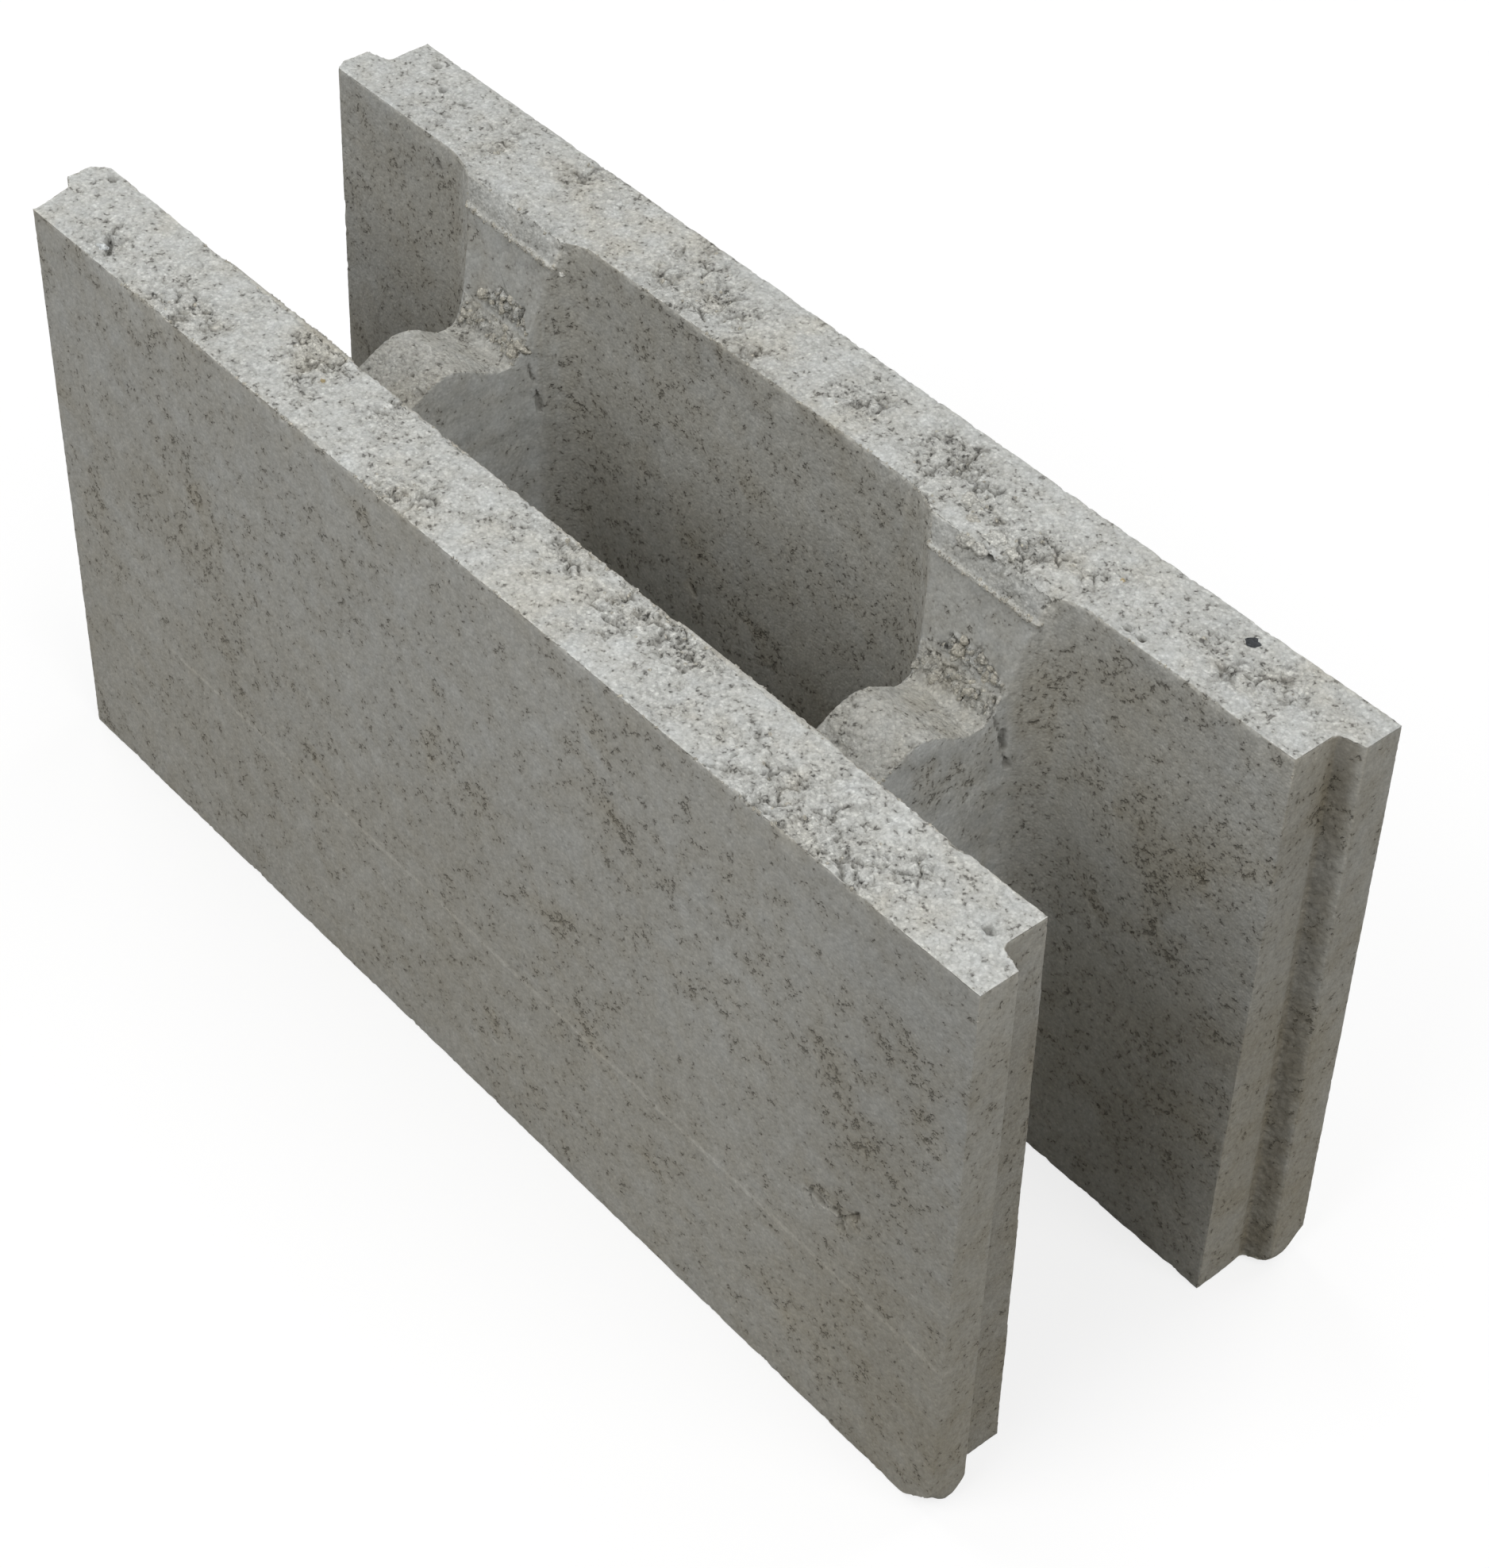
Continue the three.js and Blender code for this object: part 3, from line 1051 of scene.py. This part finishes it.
def build_set_stones(stones: tuple[Stone, ...], node: str, material: Material) -> Object:
    """Builds the stones that have a place of their own.

    Args:
        stones: the stones.
        node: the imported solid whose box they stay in.
        material: what they are made of.

    Returns:
        The finished piece.
    """
    solid = bmesh.new()
    for mask in (Mask.TONE, Mask.WARMTH):
        solid.verts.layers.float.new(mask.value)
    for stone in stones:
        stone.add_to(solid)
    mesh = mesh_of(solid, "set_stones")
    keep_inside(mesh, node)
    mesh.shade_smooth()
    mesh.materials.append(material)
    return new_object("set_stones", mesh)


# Materials


class Effect:
    """A shader node group with named inputs and outputs, built once and used by several materials."""

    name = "effect"
    takes: dict[str, str] = {}
    gives: dict[str, str] = {}

    def write(self, g: Graph, given: dict[str, object]) -> dict[str, object]:
        """Writes the group's nodes from its inputs by name and returns its outputs by name."""
        raise NotImplementedError

    def group(self) -> NodeTree:
        """Makes the node group on first use.

        Returns:
            The group.
        """
        found = bpy.data.node_groups.get(self.name)
        if found:
            return found
        tree = new_tree(self.name, "ShaderNodeTree", self.takes, self.gives)
        g = Graph(tree)
        entry = g.add("NodeGroupInput").outputs
        given = {n: g.field(entry[n]) if kind == "Float" else entry[n] for n, kind in self.takes.items()}
        g.add("NodeGroupOutput", self.write(g, given))
        return tree

    def on(self, g: Graph, **values: object) -> dict[str, Field]:
        """Places the group in a material's graph with its inputs by name. Returns its outputs by name."""
        node = g.add("ShaderNodeGroup", values, node_tree=self.group())
        return {name: g.field(node.outputs[name]) for name in self.gives}


class Sand(Effect):
    """Sand grains in the cement paste: each has its own tone around 1, with painted shade in the seams
    between them and a relief.
    """

    name = "sand"
    takes = {"place": "Vector", "grain": "Float", "contrast": "Float"}
    gives = {"tone": "Float", "height": "Float"}

    def write(self, g: Graph, given: dict[str, object]) -> dict[str, object]:
        """Writes the group's nodes.

        Args:
            g: the group's graph.
            given: its inputs by name.

        Returns:
            Its outputs by name.
        """
        grain = given["grain"]
        near, random = g.cells(given["place"], grain)
        near = near * (1.0 / grain)
        # The seams between grains get painted shade; the pale grains and the random tones are the sand's
        # own.
        seam = near.rises(0.4, 0.85)
        pale = random.rises(0.86, 0.92) * near.falls(0.2, 0.5)
        tone = 1.0 + given["contrast"] * (1.1 * (random - 0.5) - 0.5 * (seam - 0.3) + 0.5 * pale)
        return {"tone": tone, "height": 1.0 - near}


class Texture(Effect):
    """The broken texture of pressed dry concrete: its height, and the ragged hollows in it."""

    name = "texture"
    takes = {"place": "Vector", "size": "Float", "share": "Float"}
    gives = {"height": "Float", "hollow": "Float", "stain": "Float", "mottle": "Float"}
    slant = (0.59, 0.81)
    squeeze = 0.68

    def write(self, g: Graph, given: dict[str, object]) -> dict[str, object]:
        """Writes the group's nodes.

        Args:
            g: the group's graph.
            given: its inputs by name.

        Returns:
            Its outputs by name.
        """
        place, size, share = given["place"], given["size"], given["share"]
        x, y, z = g.parts(place)
        over, down = self.slant
        slanted = {0: (x * over + z * down) * self.squeeze, 1: y, 2: x * down - z * over}
        slanted = g.out("ShaderNodeCombineXYZ", slanted)
        height = g.noise(slanted, size, 3.0, 0.66)
        cluster = g.noise(place, size * 4.0, apart=(50.0, 0.0, 0.0))
        edge = 0.265 + 0.09 * share + 0.4 * (cluster - 0.5)
        return {
            "height": height,
            "hollow": height.falls(edge - 0.11, edge + 0.05),
            "stain": height.falls(edge - 0.1, edge + 0.17),
            "mottle": cluster,
        }


class Cement(Effect):
    """Turns a tone and a warmth into the colour of cement paste, from blue-grey to brown-grey."""

    name = "cement"
    takes = {"tone": "Float", "warmth": "Float"}
    gives = {"colour": "Color"}

    def write(self, g: Graph, given: dict[str, object]) -> dict[str, object]:
        """Writes the group's nodes.

        Args:
            g: the group's graph.
            given: its inputs by name.

        Returns:
            Its outputs by name.
        """
        tone, warmth = given["tone"], given["warmth"]
        parts = {0: tone, 1: tone * (1.0 - 0.055 * warmth), 2: tone * (0.94 - 0.14 * warmth)}
        return {"colour": g.out("ShaderNodeCombineColor", parts)}


class Finish:
    """A finish of stone, laid out on the block's own coordinates and with a relief of its own."""

    name = "finish"
    specular = 0.3

    def write(self, g: Graph, place: Socket) -> tuple[Field, Field, Number]:
        """Writes the finish's own nodes and returns its colour, its relief and its roughness."""
        raise NotImplementedError

    def build(self) -> Material:
        """Builds the material.

        Returns:
            The material.
        """
        material = bpy.data.materials.new(self.name)
        g = blank(material)
        place = g.scaled(g.add("ShaderNodeTexCoord").outputs["Object"], 1 / MM)
        colour, rise, roughness = self.write(g, place)
        bump = g.out("ShaderNodeBump", {"Height": rise, "Distance": MM, "Strength": 1.0})
        looks = {"Base Color": colour, "Normal": bump, "Roughness": roughness}
        shader = g.out("ShaderNodeBsdfPrincipled", looks | {"Specular IOR Level": self.specular})
        g.add("ShaderNodeOutputMaterial", {0: shader})
        return material


@dataclass(frozen=True)
class WeatheredConcrete(Finish):
    """The block's dry-cast concrete. The depths feed the relief."""

    grain: float = 1.1
    lumps: float = 2.3
    face_relief: float = 0.15
    bed_relief: float = 1.6
    grain_relief: float = 0.5
    hollow_depth: float = 0.6
    scrape_height: float = 82.5
    scrape_slope: float = 0.016
    scrape_shade: float = 0.2
    # Painted shade in the small dips of the shader's relief.
    dip_shade: float = 0.24
    stain_shade: float = 0.09
    # Painted shade in the skin's pits, crevices, cracks and gaps.
    hollow_shade: float = 0.46
    mottle_shade: float = 0.3

    name = "weathered_concrete"

    def write(self, g: Graph, place: Socket) -> tuple[Field, Field, Number]:
        """Writes the finish's own nodes.

        Args:
            g: the material's graph.
            place: the point.

        Returns:
            Its colour, its relief and its roughness.
        """
        torn, pory, hollow, smeared = (
            attribute(g, mask) for mask in (Mask.TORN, Mask.PORY, Mask.HOLLOW, Mask.SMEARED)
        )
        sand = Sand().on(g, place=place, grain=self.grain, contrast=0.14 + 0.26 * torn)
        share = pory - (sand["height"] - 0.6) * (2.4 + 0.8 * torn)
        texture = Texture().on(g, place=place, size=self.lumps, share=share)
        height, dip, stain = texture["height"], texture["hollow"], texture["stain"]
        mottle = texture["mottle"] - 0.5
        tone, warmth = attribute(g, Mask.TONE), attribute(g, Mask.WARMTH)
        smear = g.noise(g.stretched(place, (0.3, 0.3, 1.0)), 6.0, 2.0) - 0.5
        tone = tone * sand["tone"] * (1.0 + smear * (0.08 + 0.5 * smeared))
        # Painted shade and light: the low parts of the relief are darker and the high parts lighter, as
        # self-shadow would make them
        tone = tone * (1.0 + (height - 0.5) * (0.6 + 1.0 * torn))
        tone = tone * (1.0 + self.scrape_shade * self._scrape(g, place, smear))
        # Painted shade in the small dips of the relief, then darker where the texture's stain lies.
        tone = tone * (1.0 - (self.dip_shade + 0.3 * torn) * dip) * (1.0 - self.stain_shade * stain)
        # Painted shade in the skin's pits, crevices, cracks and gaps; then the cement's own mottling.
        tone = tone * (1.0 - self.hollow_shade * hollow) * (1.0 - self.mottle_shade * mottle)
        warmth = warmth + (0.4 * stain + 1.0 * mottle) * (1.0 - 0.5 * torn) + 0.3 * hollow
        colour = Cement().on(g, tone=tone, warmth=warmth)["colour"]
        relief = self.face_relief + (self.bed_relief - self.face_relief) * torn
        rise = height * relief - dip * self.hollow_depth
        rise = rise + sand["height"] * self.grain_relief * (0.2 + 0.8 * torn)
        return colour, rise, 0.86 + 0.08 * torn

    def _scrape(self, g: Graph, place: object, wobble: Field) -> Field:
        """The line that a guide scraped along the lower part of the front face.

        Args:
            g: the material's graph.
            place: the point.
            wobble: what bends the line a little.

        Returns:
            1 on the line and 0 away from it.
        """
        x, y, z = g.parts(place)
        line = self.scrape_height - self.scrape_slope * (x + 170.0)
        away = abs(z - line + wobble * 2.5)
        return away.falls(0.3, 1.7) * y.falls(-88, -80) * x.rises(-190, -160)


@dataclass(frozen=True)
class ExposedStone(Finish):
    """Sand and crushed stone that shows at the broken places. Each stone has its own tone and warmth."""

    grain: float = 0.9
    relief: float = 0.5

    name = "exposed_stone"

    def write(self, g: Graph, place: Socket) -> tuple[Field, Field, Number]:
        """Writes the finish's own nodes.

        Args:
            g: the material's graph.
            place: the point.

        Returns:
            Its colour, its relief and its roughness.
        """
        sand = Sand().on(g, place=place, grain=self.grain, contrast=0.5)
        texture = Texture().on(g, place=place, size=1.6, share=0.6)
        # Painted shade in the hollows of the texture, on top of each stone's own tone.
        tone = attribute(g, Mask.TONE) * sand["tone"] * (1.0 - 0.35 * texture["hollow"])
        warmth = attribute(g, Mask.WARMTH) + 0.3 * texture["stain"]
        colour = Cement().on(g, tone=tone, warmth=warmth)["colour"]
        return colour, sand["height"] * self.relief + texture["height"], 0.9


def attribute(g: Graph, mask: Mask) -> Field:
    """A vertex value that the trees left on the mesh."""
    return g.field(g.add("ShaderNodeAttribute", attribute_name=mask.value).outputs["Fac"])


# Studio


@dataclass(frozen=True)
class Viewpoint:
    """The camera. Lengths are metres, angles degrees, and shifts shares of the picture's long side."""

    place: Point = (0.7181, -0.5975, 0.9878)
    turn: Point = (48.679, -0.71, 50.157)
    lens: float = 82.04
    shift: tuple[float, float] = (0.0395, -0.1002)
    sensor: float = 36.0

    def build(self) -> None:
        """Makes the camera and uses it for the scene."""
        data = bpy.data.cameras.new("camera")
        data.sensor_width = self.sensor
        data.lens = self.lens
        data.shift_x, data.shift_y = self.shift
        camera = new_object("camera", data)
        camera.location = self.place
        camera.rotation_euler = Euler([math.radians(angle) for angle in self.turn])
        bpy.context.scene.camera = camera


@dataclass(frozen=True)
class SoftBox:
    """A wide round lamp that looks at the block. Lengths are metres and the power is watts."""

    name: str
    place: Point
    power: float
    width: float = 2.0

    def build(self) -> None:
        """Makes the lamp."""
        data = bpy.data.lights.new(self.name, "AREA")
        data.shape = "DISK"
        data.size = self.width
        data.energy = self.power
        lamp = new_object(self.name, data)
        lamp.location = self.place
        lamp.rotation_euler = (-lamp.location).to_track_quat("-Z", "Y").to_euler()


@dataclass(frozen=True)
class Studio:
    """A pale floor under a faint sky, with a soft lamp on each side."""

    sky: float = 0.2
    boxes: tuple[SoftBox, ...] = (
        SoftBox("lamp_right", (2.0, 0.0, 2.0), 28.0),
        SoftBox("lamp_left", (-2.0, 0.0, 2.0), 19.0),
        SoftBox("lamp_front", (0.0, -2.0, 2.0), 31.0),
        SoftBox("lamp_back", (0.0, 2.0, 2.0), 18.0),
    )
    floor_reach: float = 9.0
    floor_drop: float = 0.0004
    floor_tone: float = 0.15
    seen_tone: float = 0.3
    seen_glow: float = 0.75

    def build(self) -> None:
        """Makes the world, the lamps and the floor."""
        self._world()
        for box in self.boxes:
            box.build()
        self._floor()

    def _world(self) -> None:
        """A plain sky, which the camera sees as white."""
        bpy.context.scene.world = world = bpy.data.worlds.new("sky")
        g = blank(world)
        seen = camera_sees(g)
        strength = seen + (1.0 - seen) * self.sky
        light = g.out("ShaderNodeBackground", {"Color": grey(1.0), "Strength": strength})
        g.add("ShaderNodeOutputWorld", {0: light})

    def _floor(self) -> None:
        """The floor: white to the camera apart from the block's shadow, and a dull grey to the block."""
        mesh = bpy.data.meshes.new("floor")
        r = self.floor_reach
        corners = [(-r, -r), (r, -r), (r, r), (-r, r)]
        mesh.from_pydata([(x, y, -self.floor_drop) for x, y in corners], [], [(0, 1, 2, 3)])
        floor = new_object("floor", mesh)
        material = bpy.data.materials.new("floor")
        g = blank(material)
        dull = g.out("ShaderNodeBsdfDiffuse", {"Color": grey(self.floor_tone)})
        pale = g.out("ShaderNodeBsdfDiffuse", {"Color": grey(self.seen_tone)})
        glow = g.out("ShaderNodeEmission", {"Color": grey(1.0), "Strength": self.seen_glow})
        white = g.out("ShaderNodeAddShader", {0: pale, 1: glow})
        either = g.out("ShaderNodeMixShader", {0: camera_sees(g), 1: dull, 2: white})
        g.add("ShaderNodeOutputMaterial", {0: either})
        mesh.materials.append(material)


def grey(tone: float) -> tuple[float, float, float, float]:
    """A grey as a colour socket takes it."""
    return (tone, tone, tone, 1.0)


def camera_sees(g: Graph) -> Field:
    """Tells what the camera sees straight, mirrored or through glass from light on the block.

    Args:
        g: the graph of a world or of the floor.

    Returns:
        1 for what is seen and 0 for light.
    """
    path = g.add("ShaderNodeLightPath")
    kinds = ("Is Camera Ray", "Is Glossy Ray", "Is Transmission Ray")
    camera, glossy, through = (g.field(path.outputs[kind]) for kind in kinds)
    return camera.most(glossy).most(through)


# Small helpers


def new_object(name: str, data: bpy.types.ID) -> Object:
    """Makes an object and puts it into the scene.

    Args:
        name: its name.
        data: its mesh, lamp or camera.

    Returns:
        The object.
    """
    thing = bpy.data.objects.new(name, data)
    bpy.context.scene.collection.objects.link(thing)
    return thing


def mesh_of(solid: bmesh.types.BMesh, name: str) -> Mesh:
    """Writes a working mesh into a new one and frees it.

    Args:
        solid: the working mesh.
        name: the new one's name.

    Returns:
        The new mesh.
    """
    mesh = bpy.data.meshes.new(name)
    solid.to_mesh(mesh)
    solid.free()
    return mesh


def wire(name: str, lines: tuple[Line, ...]) -> Object:
    """Makes a helper object of lines alone.

    Args:
        name: the helper's name.
        lines: each line's points.

    Returns:
        An object of edges without faces.
    """
    points, edges = [], []
    for line in lines:
        edges += [(len(points) + i, len(points) + i + 1) for i in range(len(line) - 1)]
        points += [Vector(point) * MM for point in line]
    mesh = bpy.data.meshes.new(name)
    mesh.from_pydata(points, edges, [])
    return new_object(name, mesh)


def keep_inside(mesh: Mesh, node: str) -> None:
    """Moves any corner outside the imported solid's box back onto it.

    Args:
        mesh: the mesh.
        node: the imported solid's node.
    """
    low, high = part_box(node)
    places = np.empty(len(mesh.vertices) * 3, np.float32)
    mesh.vertices.foreach_get("co", places)
    places = np.clip(places.reshape(-1, 3), np.array(low), np.array(high))
    mesh.vertices.foreach_set("co", places.ravel().astype(np.float32))
    mesh.update()


def triangle_count(mesh: Mesh) -> int:
    """How many triangles a mesh's faces make."""
    return sum(len(face.vertices) - 2 for face in mesh.polygons)


def set_inputs(modifier: bpy.types.Modifier, values: dict[str, object]) -> None:
    """Sets a Geometry Nodes modifier's inputs.

    Args:
        modifier: the modifier.
        values: each input's value by the socket's name.
    """
    for socket in modifier.node_group.interface.items_tree:
        if socket.in_out == "INPUT" and socket.name in values:
            modifier[socket.identifier] = values[socket.name]


def apply_all(piece: Object) -> None:
    """Turns a piece with its modifiers into a plain mesh.

    Args:
        piece: the piece.
    """
    evaluated = piece.evaluated_get(bpy.context.evaluated_depsgraph_get())
    mesh = bpy.data.meshes.new_from_object(evaluated)
    piece.modifiers.clear()
    piece.data = mesh


NODE = "block"
BODY = "root"
STONES = (
    Stone((-208, -81.5, 248.9), (2.7, 2.0, 1.1), 25, 0.62, -0.7),
    Stone((32, -73, 248.8), (1.8, 1.4, 1.2), 0, 0.62, 0.2),
    Stone((198, 82.8, 248.9), (4.4, 3.4, 1.1), 50, 0.05, -1.5),
    Stone((103, 47.2, 246.9), (3.4, 2.2, 2.2), 10, 0.47, 0.3),
    Stone((109.5, 47.0, 247.8), (3.2, 2.0, 1.9), -15, 0.5, 0.2),
    Stone((109, 54.4, 248.2), (5.0, 3.0, 1.8), 8, 0.55, 0.1),
    Stone((118, 53.0, 248.4), (3.4, 2.2, 1.5), -20, 0.54, 0.3),
    Stone((97, 55.0, 248.5), (3.0, 2.4, 1.4), 35, 0.5, 0.5),
    Stone((90, 62.0, 248.5), (4.2, 3.0, 1.4), 15, 0.54, 0.2),
    Stone((55.5, -52.5, 248.7), (1.5, 1.1, 1.1), 0, 0.52, 0.3),
    Stone((69, -53.3, 248.7), (1.4, 1.2, 1.1), 40, 0.5, 0.4),
    Stone((-104, 44.4, 238.3), (1.6, 0.8, 0.8), 0, 0.6, 0.2),
    Stone((-95, -66, 249.0), (0.9, 0.8, 0.8), 0, 0.5, 3.2),
    Stone((150, 71, 249.0), (0.9, 0.8, 0.8), 0, 0.5, 3.0),
)
SCATTERS = (
    Scatter("heel_lumps", Mask.HEEL, 90_000.0, 1.2, 3.0, 0.4, 2, 5),
    Scatter("heel_crumbs", Mask.HEEL, 300_000.0, 0.4, 1.4, 0.3, 1, 3),
    Scatter("bed_grains", Mask.GRAINY, 60_000.0, 0.35, 1.0, 0.4, 1, 7),
    Scatter("rim_crumbs", Mask.RIM, 1_200_000.0, 0.3, 0.9, 0.35, 1, 11),
)


def main() -> None:
    """Builds the camera, the light and every piece of the block."""
    logging.basicConfig(level=logging.INFO, format="%(message)s")
    bpy.context.scene.view_settings.view_transform = "Standard"
    Viewpoint().build()
    Studio().build()
    plan = Plan.of_node(NODE)
    block = Skin(NODE, plan, Wear(), Flaws()).build()
    block.data.materials.append(WeatheredConcrete().build())
    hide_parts(NODE)
    stone = ExposedStone().build()
    pieces = [block, build_set_stones(STONES, NODE, stone)]
    pieces += [scatter.build(block, NODE, stone) for scatter in SCATTERS]
    for piece in pieces:
        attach(piece, BODY)
        log.info("%s: %d triangles", piece.name, triangle_count(piece.data))


if __name__ == "__main__":
    main()
